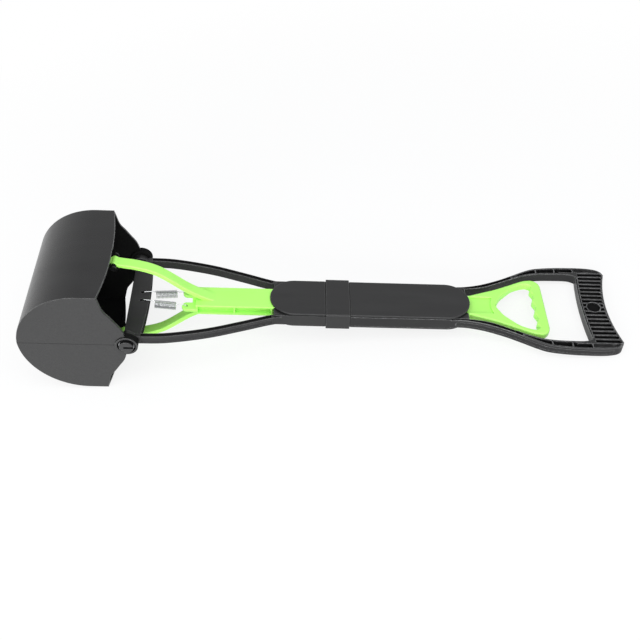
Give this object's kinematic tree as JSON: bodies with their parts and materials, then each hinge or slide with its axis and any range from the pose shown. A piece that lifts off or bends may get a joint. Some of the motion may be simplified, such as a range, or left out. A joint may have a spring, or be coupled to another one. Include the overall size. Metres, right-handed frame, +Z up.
{
  "type": "pooper scooper",
  "caption": "Long-handled scooper whose hollow clamshell jaws open when a sliding trigger is pulled inside a D-shaped grip.",
  "frame": {"origin": "on the floor, under the middle of the tool's outer box, as it lies closed on its lower lip and on its grip", "axes": "+X from the jaws towards the grip, +Y to the far side along the hinge axis, +Z up from the lower jaw to the upper one"},
  "size_m": [0.5966, 0.1394, 0.1253],
  "materials": {
    "black_shell": "semi-gloss black moulded plastic",
    "black_frame": "satin black moulded plastic",
    "lime_plastic": "semi-gloss lime green moulded plastic",
    "steel": "bright zinc-plated steel"
  },
  "bodies": {
    "frame": {"fork_frame": "black_frame", "handle_frame": "black_frame", "front_top_cover": "black_shell", "rear_top_cover": "black_shell", "front_bottom_cover": "black_shell", "rear_bottom_cover": "black_shell", "cover_screw_1": "steel", "cover_screw_2": "steel", "cover_screw_3": "steel", "cover_screw_4": "steel", "cover_screw_5": "steel", "cover_screw_6": "steel", "splice_band": "black_frame", "near_pivot_washer": "steel", "far_pivot_washer": "steel", "near_pivot_screw": "steel", "far_pivot_screw": "steel", "near_spring": "steel", "far_spring": "steel"},
    "slider": {"pull_slider": "lime_plastic", "upper_link_pin": "steel", "upper_link_clip": "steel", "lower_link_pin": "steel", "lower_link_clip": "steel"},
    "upper": {"upper_jaw": "black_shell", "near_pivot_cap": "black_frame", "far_pivot_cap": "black_frame"},
    "lower": {"lower_jaw": "black_shell"}
  },
  "joints": [
    {"name": "pull_slide", "type": "slide", "parent": "frame", "child": "slider", "axis": [0.994, 0, -0.1091], "range_m": [0, 0.035], "stiffness_N_per_m": 500, "springref_m": -0.012, "deforming": ["near_spring", "far_spring"]},
    {"name": "upper_jaw_hinge", "type": "hinge", "parent": "frame", "child": "upper", "pos_m": [-0.19266, 0, 0.05926], "axis": [0, 1, 0], "range_deg": [0, 38.9]},
    {"name": "lower_jaw_hinge", "type": "hinge", "parent": "frame", "child": "lower", "pos_m": [-0.19266, 0, 0.05926], "axis": [0, -1, 0], "range_deg": [0, 38.9]}
  ],
  "couplings": [
    {"joint": "upper_jaw_hinge", "follows": "pull_slide", "rad_per_m": 19.35},
    {"joint": "lower_jaw_hinge", "follows": "pull_slide", "rad_per_m": 19.35}
  ]
}
